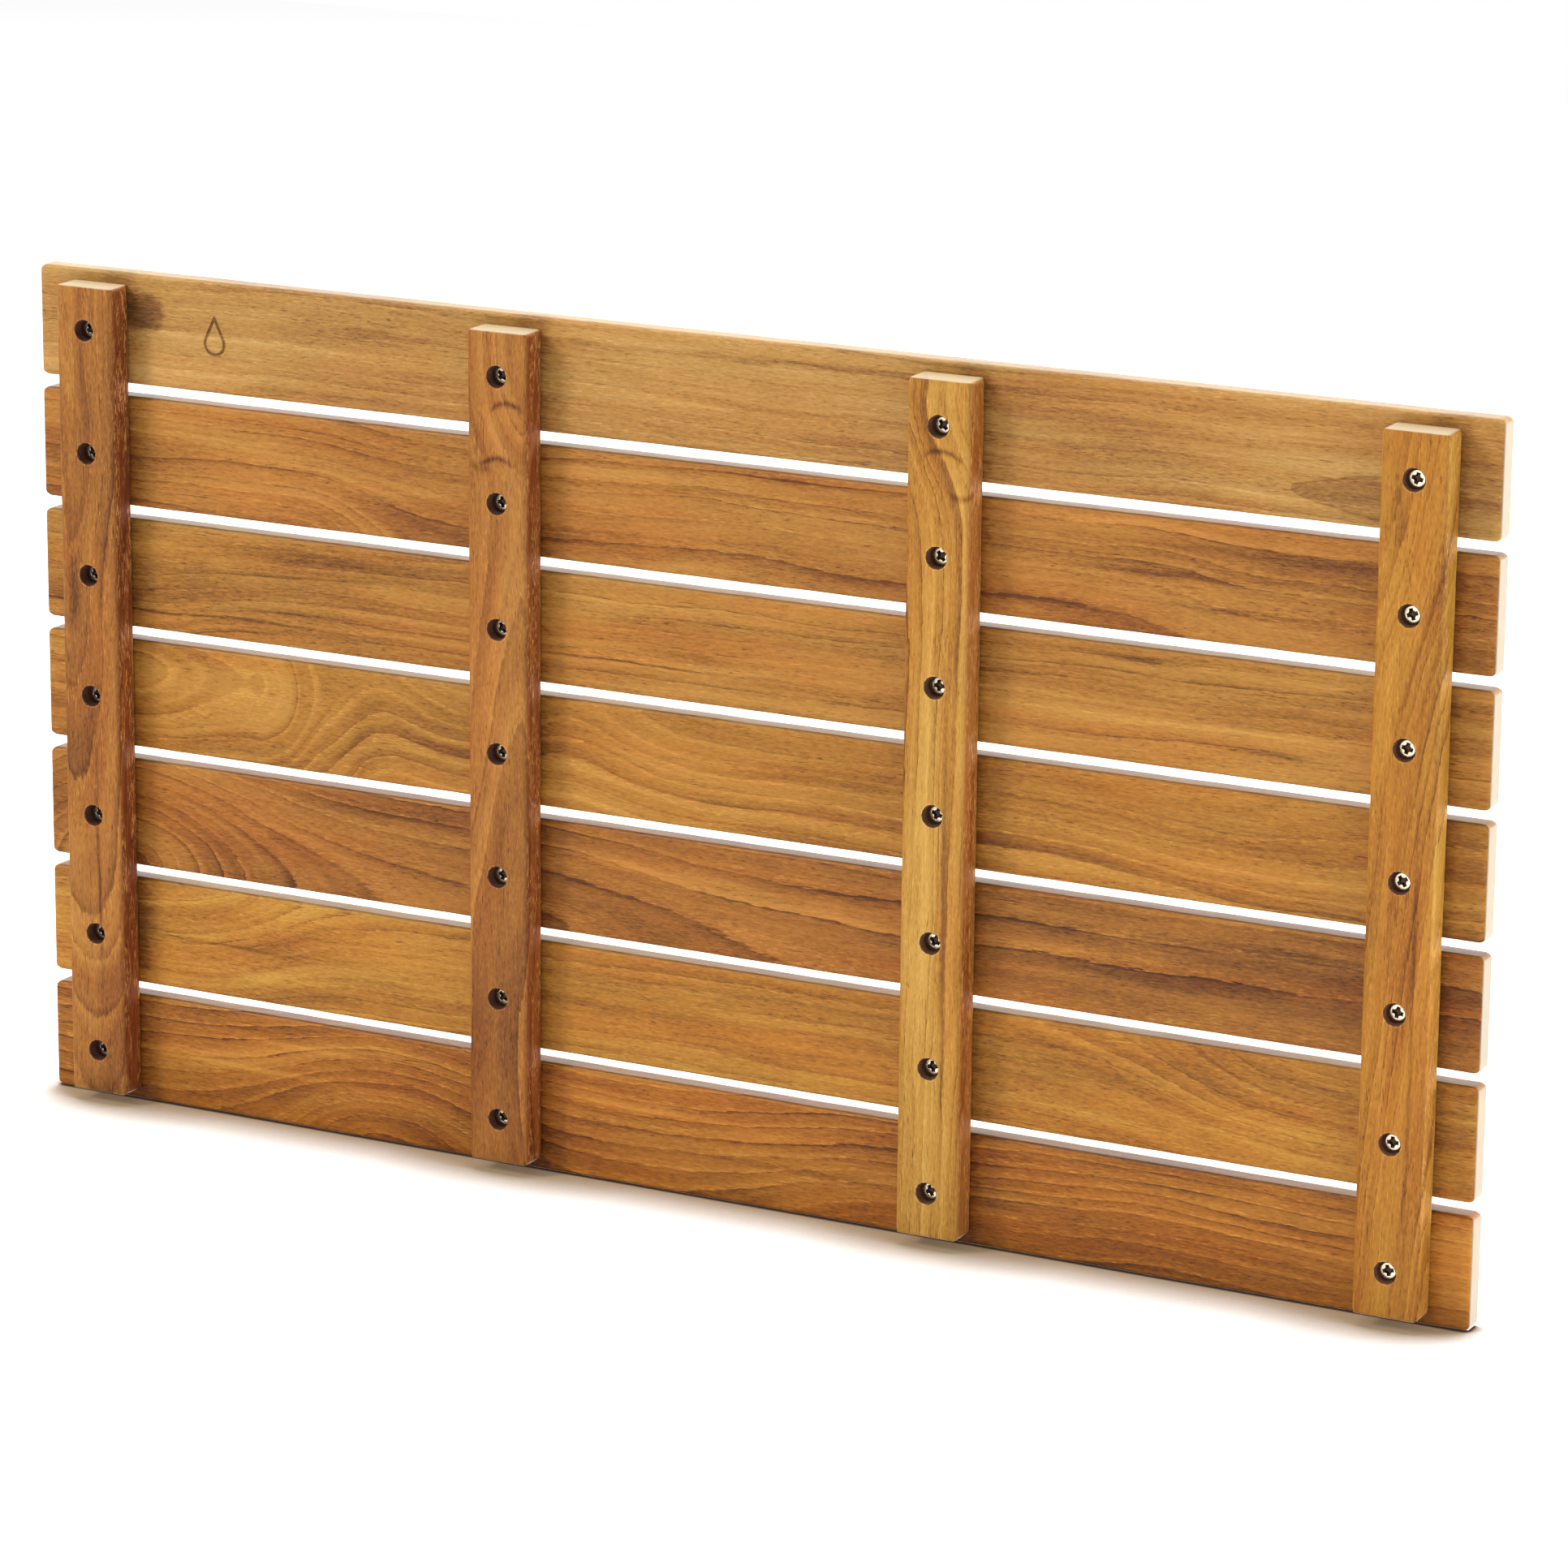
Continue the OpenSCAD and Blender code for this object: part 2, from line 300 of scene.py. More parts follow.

# Every board is cut from its own place in a log. across and depth say where the log's centre line
# runs: millimetres across the board from its middle, and millimetres below its underside. Each is
# (start, rise per mm of length, bends), and a bend is (place along the board, reach, amount, kind).
# ring is the width of one year's growth, line and porous are how much its late and early wood show.
# light, mid and dark are the wood's tones, and side is the painted light and shade on the long sides.
# The marks are in millimetres from the board's middle, and a strength below 0 is darker:
# streaks follow the grain: (along, across, reach along, reach across, strength);
# waves cross it: (along, across, reach along, reach across, bend, strength);
# stains (like streaks) and leaves (a darker patch with one pointed end) are on the underside only,
# and there a strength above 0 is darker.
TEAK = {
    "slat_1": dict(light="B99356", mid="A27A3D", dark="775027", ring=9.5, line=0.30, porous=0.35,
                   across=(-110, 0.012, ((-210, 110, -4, "swell"), (120, 120, 3, "swell"))),
                   depth=(30, 0.02, ()),
                   streaks=((20, -17, 130, 1.6, -0.30), (-215, 22, 60, 1.8, -0.25), (235, -4, 90, 5, -0.12),
                            (374, 6, 26, 34, -0.09)),
                   stains=((-322, -9, 12, 10, 0.8),),
                   leaves=((281, 13, 46, 9.5, 0.14),)),
    "slat_2": dict(light="B47F3C", mid="986728", dark="693E17", ring=7.0, line=0.55, porous=0.5,
                   across=(35, 0.0, ()),
                   depth=(17.5, 0.0, ((-215, 35, 17.5, "step"), (0, 50, -4, "swell"), (238, 24, 4, "step"))),
                   streaks=((232, -2, 36, 2.0, -0.42), (262, 11, 40, 1.6, -0.35), (150, 18, 60, 2.0, -0.25),
                            (-170, 4, 60, 4, 0.22), (-60, -16, 60, 3, 0.15), (300, -14, 60, 1.6, -0.3))),
    "slat_3": dict(light="B2803A", mid="986929", dark="653F17", ring=6.5, line=0.45, porous=0.4,
                   across=(-70, -0.012, ((-300, 50, -5, "step"),)),
                   depth=(20, 0.0, ((-60, 40, 3, "swell"),)),
                   streaks=((-330, 17, 110, 0.7, -0.55), (-190, 11, 60, 0.7, -0.35),
                            (-55, 11.5, 50, 0.6, -0.6), (-260, -20, 100, 5, -0.30),
                            (-20, -10, 90, 2.4, -0.28), (-20, 4, 24, 2.2, -0.30),
                            (210, -20, 16, 1.2, -0.5), (278, 16, 26, 1.2, -0.5),
                            (150, 8, 120, 12, 0.05), (0, 6, 90, 30, 0.20))),
    "slat_4": dict(light="B28038", mid="986824", dark="6A4017", ring=7.0, line=0.35, porous=1.0,
                   across=(-18.5, 0.0, ((-205, 16, -17, "step"), (-60, 60, 1, "step"),
                                        (240, 60, 10, "step"))),
                   depth=(26, 0.0, ((-300, 30, 7, "step"), (-235, 12, 10, "step"), (-257, 6, -1.4, "swell"),
                                    (-168, 26, -12, "step"), (-85, 42, 18, "swell"), (270, 50, 6, "step"))),
                   streaks=((-200, 0, 8, 26, -0.10), (300, 8, 60, 3, 0.15), (0, 0, 90, 34, 0.20))),
    "slat_5": dict(light="AD7732", mid="905C21", dark="5F3814", ring=6.5, line=0.75, porous=0.7,
                   across=(30, 0.0, ()),
                   depth=(0, 0.0, ((-345, 90, 62, "step"), (-40, 60, 5, "step"))),
                   streaks=((250, 0, 110, 30, -0.36), (200, -2, 60, 2, 0.30), (165, 10, 40, 2, 0.25),
                            (300, -14, 40, 2, -0.3), (-60, -10, 50, 2, 0.2))),
    "slat_6": dict(light="BC8F3B", mid="A26F27", dark="714819", ring=6.5, line=0.40, porous=0.35,
                   across=(-45, 0.0, ()),
                   depth=(12, 0.0, ((-265, 40, 18, "step"), (255, 60, -22, "step"))),
                   streaks=((-285, 2, 40, 1.0, -0.35), (-240, 14, 60, 3, 0.22), (60, 6, 130, 2.4, 0.15),
                            (100, -16, 110, 1.2, -0.25), (230, 0, 150, 40, -0.10)),
                   # The stain on slat_6 beside batten_1 is painted shadow as well as a stain
                   stains=((-333, -2, 12, 26, 0.48),)),
    "slat_7": dict(light="B77F32", mid="99611F", dark="653914", ring=5.5, line=0.60, porous=0.8,
                   across=(45, 0.0, ()),
                   depth=(40, 0.0, ((-185, 60, -34, "swell"), (40, 50, -10, "step"), (230, 60, -5, "swell"))),
                   streaks=((-265, 1, 60, 1.6, 0.35), (-240, -14, 50, 1.4, 0.3), (-50, -12, 50, 1.6, 0.35),
                            (60, 6, 90, 2.0, -0.3), (215, 0, 110, 40, -0.10), (370, 0, 34, 40, 0.30))),
    "batten_1": dict(side=DEEP_SHADED_BATTEN_SIDES, light="AE7B35", mid="8F5C23", dark="5D3614",
                     ring=7.5, line=0.36, porous=0.6,
                     across=(-5, 0.01, ((-120, 40, 5, "swell"), (110, 60, 5, "step"))),
                     depth=(24, 0.10, ((130, 50, 6, "step"),)),
                     streaks=((-52, -8, 18, 4, -0.45), (-60, 4, 60, 3, 0.10), (90, 2, 60, 1.0, -0.4))),
    "batten_2": dict(side=SHADED_BATTEN_SIDES, light="AD7735", mid="8D5B23", dark="5F3514",
                     ring=8.0, line=0.40, porous=0.7,
                     across=(9, 0.0, ((60, 80, -14, "step"),)),
                     depth=(26, -0.10, ((-155, 30, 14, "step"), (100, 50, 8, "step"))),
                     streaks=((-160, 0, 9, 10, 0.12), (-60, 0, 30, 4, 0.12), (60, 2, 40, 3, -0.15)),
                     waves=((-171, 5, 1.5, 8, 0.05, -0.55), (-144.5, 0, 1.5, 9, 0.035, -0.55),
                            (-139, -9, 2.0, 5, -0.05, -0.3))),
    "batten_3": dict(side=SHADED_BATTEN_SIDES, light="BC9246", mid="A4772C", dark="774C1B",
                     ring=4.6, line=0.50, porous=0.35,
                     across=(-48, -0.02, ((-165, 30, 9, "step"),)),
                     depth=(14, 0.0, ((-190, 24, 12, "swell"),)),
                     streaks=((60, 7, 110, 1.2, -0.3), (20, -3, 150, 3, 0.18)),
                     waves=((-172, 3, 1.4, 9, 0.04, -0.55), (-152, 12, 1.6, 6, -0.05, -0.4))),
    "batten_4": dict(side=LIT_BATTEN_SIDES, light="B6812F", mid="9B681F", dark="6E400F",
                     ring=4.2, line=0.60, porous=0.35,
                     across=(-40, -0.11, ((-120, 50, -9, "step"),)),
                     depth=(12, 0.0, ()),
                     streaks=((-165, -6, 14, 3, -0.3), (60, 8, 110, 1.0, -0.3), (20, -6, 150, 2, 0.15))),
}


def teak(name, centre, along, half, shaded_bore=False):
    """Oiled teak: growth rings through the whole board, pores, fibres and paler sawn ends, with painted light
    on the ends and long sides and painted shade beside the battens, at the +X end and in the screw holes.
    """
    look = TEAK[name]
    half_length, half_width, half_thickness = (size / MM for size in half)
    seed = 13.7 * (SLATS + BATTENS).index(name)
    material = bpy.data.materials.new(f"teak_{name}" + ("_bored" if shaded_bore else ""))
    material.use_nodes = True
    g = Nodes(material.node_tree)
    shader = g.tree.nodes["Principled BSDF"]

    # Board axes in millimetres from its middle: u along the grain, v across, w up
    place = g.put("TexCoord").outputs["Object"]
    local = g.put("VectorMath", {0: place, 1: tuple(centre)}, operation="SUBTRACT").outputs[0]
    local = g.put("VectorMath", {0: local, 3: 1 / MM}, operation="SCALE").outputs[0]
    axes = g.put("SeparateXYZ", {0: local}).outputs
    u, v, w = (axes[0], axes[1], axes[2]) if along == "X" else (axes[1], axes[0], axes[2])

    def field(x, y, z, offset, **options):
        point = g.put("VectorMath", {0: g.vector(x, y, z), 1: (seed + offset, seed * 0.7, offset)},
                      operation="ADD").outputs[0]
        return g.noise(point, **options)

    def stretched(length, width, offset=0.0, **options):
        """Noise whose patches are length long on the grain and width across it."""
        return field(g.math("DIVIDE", u, length), g.math("DIVIDE", v, width), g.math("DIVIDE", w, width),
                     offset, **options)

    def from_place(value, start, reach):
        return g.math("DIVIDE", g.math("SUBTRACT", value, start), reach)

    def bell(*offsets):
        """1 where every offset is 0, falling away round it."""
        total = g.math("MULTIPLY", offsets[0], offsets[0])
        for offset in offsets[1:]:
            total = g.math("MULTIPLY_ADD", offset, offset, total)
        return g.math("EXPONENT", g.math("MULTIPLY", total, -1.0))

    def curve(start, rise, bends):
        line = g.math("MULTIPLY_ADD", u, rise, start)
        for at, reach, amount, kind in bends:
            offset = from_place(u, at, reach)
            shape = g.math("TANH", offset) if kind == "step" else bell(offset)
            line = g.math("MULTIPLY_ADD", shape, amount, line)
        return line

    at_underside = g.span(w, 1.5, -3.0)

    # Distance from the log's centre line, with slow wander and a jagged fine edge
    wander = g.math("MULTIPLY_ADD", stretched(95, 22, 1.0, detail=2.0), 9.0, -4.5)
    jagged = g.math("MULTIPLY_ADD", stretched(9, 1.1, 2.0, detail=3.0), 1.5, -0.75)
    off_v = g.math("SUBTRACT", g.math("ADD", v, wander), curve(*look["across"]))
    off_w = g.math("ADD", g.math("ADD", w, half_thickness), curve(*look["depth"]))
    radius = g.math("SQRT", g.math("MULTIPLY_ADD", off_v, off_v, g.math("MULTIPLY", off_w, off_w)))
    radius = g.math("ADD", radius, jagged)
    # The same distance written as a place across the board, for the streaks
    follow = g.math("ADD", g.math("ADD", v, wander), jagged)

    uneven = g.put("TexNoise", {"W": g.math("MULTIPLY_ADD", radius, 0.42 / look["ring"], seed), "Scale": 1.0,
                                "Detail": 1.0}, noise_dimensions="1D").outputs["Fac"]
    phase = g.math("MULTIPLY_ADD", uneven, 1.6, g.math("DIVIDE", radius, look["ring"]))
    year = g.math("FLOOR", phase)
    season = g.math("FRACT", phase)
    chance = g.put("TexWhiteNoise", {"W": g.math("ADD", year, seed)}, noise_dimensions="1D").outputs["Value"]

    # Pale porous wood starts each year, a narrow dark line ends it
    patchy = g.span(stretched(90, 16, 7.0, detail=1.0), 0.36, 0.62, 0.35, 1.0)
    early = g.span(season, 0.42, 0.0)
    late = g.math("MULTIPLY", g.span(season, 0.4, 0.965), 0.38)
    late = g.math("MULTIPLY_ADD", g.span(season, 0.86, 0.965), 0.62, late)
    late = g.math("MULTIPLY", late, g.span(season, 1.0, 0.985))
    late = g.math("MULTIPLY", g.math("MULTIPLY", late, patchy), g.math("MULTIPLY_ADD", chance, 0.85, 0.15))

    slow = g.math("DIVIDE", u, 300.0)
    bands = field(slow, g.math("DIVIDE", radius, 9.0), g.math("DIVIDE", w, 60.0), 11.0,
                  detail=3.0, roughness=0.6)
    runs = field(g.math("DIVIDE", u, 130.0), g.math("DIVIDE", radius, 1.9), g.math("DIVIDE", w, 20.0), 19.0,
                 detail=2.0, roughness=0.6)
    clouds = stretched(130, 34, 17.0, detail=2.0)
    fibres = stretched(22, 0.9, 23.0, detail=2.0, roughness=0.6)
    grain = stretched(3.2, 0.66, 43.0, detail=2.0, roughness=0.6)
    dashes = stretched(4.6, 0.46, 29.0, detail=1.0)
    pores = g.span(dashes, 0.58, 0.70)
    hollows = g.math("MULTIPLY", g.span(dashes, 0.38, 0.27),
                     g.span(stretched(40, 9, 47.0, detail=1.0), 0.36, 0.60, 0.3, 1.0))
    gum = g.math("MULTIPLY", g.span(stretched(26, 0.7, 31.0, detail=2.0), 0.64, 0.74),
                 g.span(stretched(150, 12, 37.0, detail=1.0), 0.50, 0.64))

    tone = g.math("MULTIPLY_ADD", bands, 0.50, 0.25)
    tone = g.math("MULTIPLY_ADD", g.math("SUBTRACT", runs, 0.5), 0.26, tone)
    tone = g.math("MULTIPLY_ADD", g.math("SUBTRACT", clouds, 0.5), 0.40, tone)
    tone = g.math("MULTIPLY_ADD", g.math("SUBTRACT", fibres, 0.5), 0.20, tone)
    tone = g.math("MULTIPLY_ADD", g.math("SUBTRACT", grain, 0.5), GRAIN, tone)
    porous = g.math("MULTIPLY", early, g.math("MULTIPLY_ADD", chance, 0.5, 0.5))
    tone = g.math("MULTIPLY_ADD", porous, 0.12 * look["porous"], tone)
    tone = g.math("MULTIPLY_ADD", g.math("MULTIPLY", porous, pores), 0.34 * look["porous"], tone)
    tone = g.math("MULTIPLY_ADD", pores, 0.10, tone)
    tone = g.math("MULTIPLY_ADD", late, -0.52 * look["line"], tone)
    tone = g.math("MULTIPLY_ADD", hollows, -0.24, tone)
    tone = g.math("MULTIPLY_ADD", gum, -0.26, tone)
    for at, side, long, wide, strength in look.get("streaks", ()):
        streak = bell(from_place(u, at, long), from_place(follow, side, wide))
        tone = g.math("ADD", tone, g.math("MULTIPLY", streak, STREAK_TONE * strength))
    for at, side, long, wide, bend, strength in look.get("waves", ()):
        # A short dark wave across the grain, bent like a bow
        off = g.math("ADD", g.math("SUBTRACT", v, side), g.math("MULTIPLY_ADD", jagged, 2.0, 0.0))
        bow = g.math("MULTIPLY_ADD", wander, 0.8, u)
        bow = g.math("MULTIPLY_ADD", g.math("MULTIPLY", off, off), -bend, bow)
        wave = bell(from_place(bow, at, long), g.math("POWER", g.math("DIVIDE", off, wide), 2.0))
        tone = g.math("MULTIPLY_ADD", wave, STREAK_TONE * strength, tone)
    for at, side, long, wide, strength in look.get("stains", ()):
        away = g.math("SQRT", g.math("ADD", g.math("POWER", from_place(u, at, long), 2.0),
                                     g.math("POWER", from_place(v, side, wide), 2.0)))
        away = g.math("MULTIPLY_ADD", g.math("SUBTRACT", stretched(14, 5, 41.0, detail=3.0), 0.5), 1.3, away)
        stain = g.math("MULTIPLY", g.span(away, 1.35, 0.55, 0.0, STAIN_TONE * strength), at_underside)
        tone = g.math("SUBTRACT", tone, stain)
    for at, side, long, wide, strength in look.get("leaves", ()):
        # A darker patch with a point towards -X and a thin dark outline
        reach = g.math("MAXIMUM", from_place(u, at, long), 0.0004)
        spread = g.math("MULTIPLY", g.math("POWER", g.math("MINIMUM", reach, 1.0), 0.55), wide)
        away = g.math("DIVIDE", g.math("ABSOLUTE", g.math("SUBTRACT", follow, side)), spread)
        outline = g.math("MULTIPLY", bell(from_place(away, 1.0, 0.10)), 0.7)
        patch = g.math("ADD", g.span(away, 1.06, 0.94), outline)
        ends = g.math("MULTIPLY", g.span(u, at, at + 1.0), g.span(u, at + 1.5 * long, at + long))
        patch = g.math("MULTIPLY", g.math("MULTIPLY", patch, strength), ends)
        tone = g.math("SUBTRACT", tone, g.math("MULTIPLY", patch, at_underside))
    if name == SLATS[0] and not shaded_bore:
        # Pressed wood is darker
        near_u = g.span(g.math("ABSOLUTE", g.math("SUBTRACT", u, DROP_FROM_END / MM - half_length)), 12, 9)
        near_v = g.span(g.math("ABSOLUTE", g.math("SUBTRACT", v, DROP_FROM_EDGE / MM - half_width)), 16, 12)
        depth = g.math("ADD", w, half_thickness)
        pressed = g.math("MULTIPLY", g.span(depth, 0.04, 0.4), g.span(depth, 2.0, 1.0))
        pressed = g.math("MULTIPLY", g.math("MULTIPLY", near_u, near_v), pressed)
        tone = g.math("MULTIPLY_ADD", pressed, -0.34, tone)
    side = g.span(g.math("ABSOLUTE", v), half_width - 1.1, half_width - 0.2)
    if along == "Y" and not shaded_bore:
        # Chipped, paler wood round each screw's hole
        turns = g.math("DIVIDE", u, SCREW_PITCH / MM)
        off_u = g.math("MULTIPLY", g.math("SUBTRACT", turns, g.math("ROUND", turns)), SCREW_PITCH / MM)
        rim = g.math("SQRT", g.math("MULTIPLY_ADD", off_u, off_u, g.math("MULTIPLY", v, v)))
        chips = g.math("MULTIPLY_ADD", g.noise(g.vector(u, v, seed), detail=2.0), 1.6, -0.8)
        rim = bell(from_place(g.math("ADD", rim, chips), 5.35, 0.34))
        rim = g.math("MULTIPLY", rim, g.span(w, 1.5 - half_thickness, 0.5 - half_thickness))
        tone = g.math("MULTIPLY_ADD", rim, 0.34, tone)
    elif along == "X":
        # Painted shade: the slats a little darker towards the +X end, in the last batten's shadow
        tone = g.math("SUBTRACT", tone, g.span(u, half_length - 48, half_length - 30, 0.0, 0.03))
        # Painted shadow on the slats beside each batten's +X side, where the batten's shadow falls, and oil
        # gathered there too
        ragged = g.math("MULTIPLY_ADD", stretched(5, 3, 67.0, detail=2.0), 9.0, g.math("SUBTRACT", u, 4.5))
        for batten in BATTENS:
            beside = (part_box(batten)[1][0] - centre.x) / MM
            batten_shadow = g.math("MULTIPLY", g.span(ragged, beside + 7, beside - 1),
                         g.span(ragged, beside - 20, beside - 10))
            tone = g.math("MULTIPLY_ADD", g.math("MULTIPLY", batten_shadow, at_underside), -0.13, tone)

    light, mid, dark = srgb(look["light"]), srgb(look["mid"]), srgb(look["dark"])
    ramp = g.put("ValToRGB", {0: tone})
    scale = ((0.0, tuple(c * 0.40 for c in dark[:3]) + (1.0,)), (0.25, dark), (0.5, mid), (0.75, light),
             (1.0, tuple(c * 1.22 for c in light[:3]) + (1.0,)))
    while len(ramp.color_ramp.elements) < len(scale):
        ramp.color_ramp.elements.new(0.5)
    # Positions first, since the ramp sorts its stops by them
    for element, (position, colour) in zip(ramp.color_ramp.elements, scale):
        element.position = position
    for element, (position, colour) in zip(ramp.color_ramp.elements, scale):
        element.color = colour
    blush = g.span(stretched(120, 20, 53.0, detail=2.0), 0.40, 0.64)
    blush = g.math("MULTIPLY_ADD", g.span(bands, 0.62, 0.36), 0.45, g.math("MULTIPLY", blush, 0.55))
    redder = g.put("Mix", {0: blush, 6: ramp.outputs["Color"], 7: BLUSH}, data_type="RGBA",
                   blend_type="MULTIPLY").outputs[2]
    # Painted light and shade on the long sides, from the board's side tint
    shade = g.put("Mix", {0: side, 6: redder, 7: look.get("side", LIT_SLAT_EDGES)}, data_type="RGBA",
                  blend_type="MULTIPLY").outputs[2]
    if along == "Y":
        # Torn fibres on the battens' sides, paler, with painted glints where they catch the light
        torn_glints = g.span(stretched(4.2, 0.55, 59.0, detail=2.0, roughness=0.6), 0.52, 0.62)
        torn_glints = g.math("MULTIPLY", torn_glints, g.span(stretched(30, 4.5, 61.0, detail=1.0), 0.36, 0.56))
        shade = g.colour(shade, TORN_FIBRE_GLINT, g.math("MULTIPLY", g.math("MULTIPLY", side, torn_glints), 0.75))
    # Paler sawn end grain with painted light on the ends
    end_and_sheen = g.span(g.math("ABSOLUTE", u), half_length - 0.5, half_length - 0.12)
    end_sheen_colour, end_sheen_share = PALE_ENDS_AND_SHEEN[along]
    shade = g.colour(shade, end_sheen_colour, g.math("MULTIPLY", end_and_sheen, end_sheen_share))
    # Painted shade in the screw holes
    if shaded_bore:
        shade = g.colour(shade, BORE_WALL_SHADE, BORE_WALL_SHADE_SHARE)
    g.feed(shader.inputs["Base Color"], shade)

    rough = g.math("MULTIPLY_ADD", grain, 0.18, 0.40)
    rough = g.math("MULTIPLY_ADD", late, -0.05, rough)
    if along == "Y":
        rough = g.math("MULTIPLY_ADD", side, 0.22, rough)
    g.feed(shader.inputs["Roughness"], rough)
    shader.inputs["IOR"].default_value = 1.30
    relief = g.math("MULTIPLY_ADD", grain, 0.5, g.math("MULTIPLY", hollows, -0.6))
    relief = g.math("MULTIPLY_ADD", late, 0.4, relief)
    bump = g.put("Bump", {"Strength": 0.35, "Distance": 0.12 * MM, "Height": relief})
    g.feed(shader.inputs["Normal"], bump.outputs[0])
    return material


# ---------------------------------------------------------------- metal

def screw_metal(name, colour, roughness):
    """Yellow-passivated steel with fine turning marks."""
    material = bpy.data.materials.new(name)
    material.use_nodes = True
    g = Nodes(material.node_tree)
    shader = g.tree.nodes["Principled BSDF"]
    place = g.put("TexCoord").outputs["Object"]
    fine = g.put("VectorMath", {0: place, 3: 2.4 / MM}, operation="SCALE").outputs[0]
    marks = g.noise(fine, detail=3.0)
    pale = tuple(c * 1.05 for c in colour) + (1.0,)
    dull = tuple(c * 0.72 for c in colour) + (1.0,)
    g.feed(shader.inputs["Base Color"], g.colour(dull, pale, g.span(marks, 0.35, 0.62)))
    g.feed(shader.inputs["Roughness"], g.math("MULTIPLY_ADD", marks, 0.16, roughness))
    shader.inputs["Metallic"].default_value = 1.0
    bump = g.put("Bump", {"Strength": 0.25, "Distance": 0.05 * MM, "Height": marks})
    g.feed(shader.inputs["Normal"], bump.outputs[0])
    return material


# ---------------------------------------------------------------- mesh making

ARC = 5  # facets in half of a rounded edge


def stops(half, radius, blocks, step):
    """Grid lines from -half to half: close together on the rounded edges and in each block."""
    edge = [radius * (1 - math.tan(math.pi / 4 * k / ARC)) for k in range(ARC + 1)] + [radius + 0.9 * MM]
    lines = [side * (half - t) for t in edge for side in (-1, 1)]
    for low, high, count in blocks:
        lines += [low + (high - low) * k / count for k in range(count + 1)]
    lines = sorted(lines)
    full = [lines[0]]
    for line in lines[1:]:
        gap = line - full[-1]
        if gap < 1e-7:
            continue
        parts = max(1, math.ceil(gap / step - 1e-6))
        start = full[-1]
        full += [start + gap * k / parts for k in range(1, parts + 1)]
    return np.array(full)


def round_pair(points, a, b, half_a, half_b, radius):
    """Turns the square corner between two axes into an arc of the radius."""
    inside_a, inside_b = half_a - radius, half_b - radius
    past_a = np.abs(points[:, a]) - inside_a
    past_b = np.abs(points[:, b]) - inside_b
    corner = (past_a > 0) & (past_b > 0)
    length = np.hypot(past_a, past_b)
    scale = np.where(corner, np.maximum(past_a, past_b) / np.maximum(length, 1e-12), 1.0)
    for axis, past, inside in ((a, past_a, inside_a), (b, past_b, inside_b)):
        moved = np.sign(points[:, axis]) * (inside + past * scale)
        points[:, axis] = np.where(corner, moved, points[:, axis])


class Shell:
    """Vertices and faces of one mesh, in metres, and which material each face has."""

    def __init__(self):
        self.points = []
        self.faces = []
        self.marks = []

    def face(self, corners, mark=0):
        self.faces.append(tuple(corners))
        self.marks.append(mark)

    def ring(self, directions, centre, radius, height):
        start = len(self.points)
        for n, (x, y) in enumerate(directions):
            r = radius[n] if isinstance(radius, (list, tuple)) else radius
            self.points.append((centre[0] + x * r, centre[1] + y * r, height))
        return list(range(start, start + len(directions)))

    def bridge(self, first, second, mark=0):
        count = len(first)
        for n in range(count):
            m = (n + 1) % count
            self.face((second[n], second[m], first[m], first[n]), mark)

    def close(self, ring, centre, mark=0):
        self.points.append(centre)
        tip = len(self.points) - 1
        for n in range(len(ring)):
            self.face((tip, ring[(n + 1) % len(ring)], ring[n]), mark)


def box_grid(shell, lines, holes_low, holes_high):
    """The six sides of a box on the grid lines, leaving out the cells of the holes."""
    index = {}
    us, vs, ws = lines
    nu, nv, nw = len(us) - 1, len(vs) - 1, len(ws) - 1

    def at(i, j, k):
        key = (i, j, k)
        if key not in index:
            index[key] = len(shell.points)
            shell.points.append((us[i], vs[j], ws[k]))
        return index[key]

    def quad(a, b, c, d, flip):
        corners = (at(*a), at(*b), at(*c), at(*d))
        shell.face(corners[::-1] if flip else corners)

    for k, flip, holes in ((0, True, holes_low), (nw, False, holes_high)):
        for i in range(nu):
            for j in range(nv):
                if any(i0 <= i < i1 and j0 <= j < j1 for i0, i1, j0, j1 in holes):
                    continue
                quad((i, j, k), (i + 1, j, k), (i + 1, j + 1, k), (i, j + 1, k), flip)
    for j, flip in ((0, False), (nv, True)):
        for i in range(nu):
            for k in range(nw):
                quad((i, j, k), (i + 1, j, k), (i + 1, j, k + 1), (i, j, k + 1), flip)
    for i, flip in ((0, True), (nu, False)):
        for j in range(nv):
            for k in range(nw):
                quad((i, j, k), (i, j + 1, k), (i, j + 1, k + 1), (i, j, k + 1), flip)
    return at


def block_rim(at, block, k):
    """Vertices round a square block of cells, in turn, from its first corner."""
    i0, i1, j0, j1 = block
    rim = [at(i, j0, k) for i in range(i0, i1)] + [at(i1, j, k) for j in range(j0, j1)]
    rim += [at(i, j1, k) for i in range(i1, i0, -1)] + [at(i0, j, k) for j in range(j1, j0, -1)]
    return rim


def find_block(lines, centre, size, count):
    first = int(np.argmin(np.abs(lines - (centre - size / 2))))
    return first, first + count


def waves(values, seed, lengths, height):
    """Slow wobble of the given height along values, the same on every run."""
    draw = random.Random(seed)
    total = np.zeros_like(values)
    for length in lengths:
        total += np.sin(values * (2 * math.pi / length) + draw.uniform(0, 2 * math.pi))
    return total * height / len(lengths)


